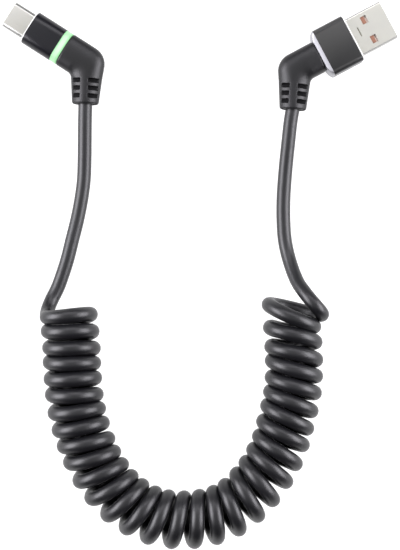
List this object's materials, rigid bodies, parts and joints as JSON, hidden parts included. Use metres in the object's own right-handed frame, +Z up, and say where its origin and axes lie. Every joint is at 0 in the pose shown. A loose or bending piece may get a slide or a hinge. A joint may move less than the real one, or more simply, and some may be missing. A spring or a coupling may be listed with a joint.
{
  "type": "coiled usb-c charging cable",
  "caption": "Curly charging cable lying in a U, with an angled USB-C plug at one end and an angled USB-A plug at the other.",
  "frame": {"origin": "on the table, midway between the two plugs", "axes": "+Z up from the table, +Y away from the curly stretch, +X from the USB-C plug towards the USB-A plug"},
  "size_m": [0.1185, 0.1633, 0.0174],
  "materials": {
    "cord": "matte jacket, smooth",
    "plug_shell": "nickel plated, satin flats and bright edges",
    "housing": "satin black",
    "elbow": "matte black, soft touch",
    "light_ring": "pale mint, milky",
    "end_cap": "bright silver",
    "plug_core": "black moulding",
    "tongue": "copper orange moulding",
    "contact": "gold plated",
    "spring": "stainless spring strip",
    "shield": "tinned sheet",
    "board": "green solder mask",
    "chip": "dark ceramic",
    "lamp": "clear lens",
    "inner_mould": "dark grey first shot",
    "conductor": "coloured sheaths"
  },
  "bodies": {
    "root": {"cord_tail_c": "cord", "cord_coil": "cord", "cord_tail_a": "cord", "usb_c_shell": "plug_shell", "usb_c_core": "plug_core", "usb_c_contacts_upper": "contact", "usb_c_contacts_lower": "contact", "usb_c_latch": "spring", "usb_c_board": "board", "usb_c_resistor": "chip", "usb_c_leds": "lamp", "usb_c_shield_can": "shield", "usb_c_inner_mould": "inner_mould", "usb_c_housing": "housing", "usb_c_light_ring": "light_ring", "usb_c_elbow": "elbow", "usb_c_wires": "conductor", "usb_a_shell": "plug_shell", "usb_a_tongue": "tongue", "usb_a_contacts": "contact", "usb_a_rear_shield": "shield", "usb_a_inner_mould": "inner_mould", "usb_a_housing": "housing", "usb_a_end_cap": "end_cap", "usb_a_elbow": "elbow", "usb_a_wires": "conductor"}
  },
  "joints": []
}
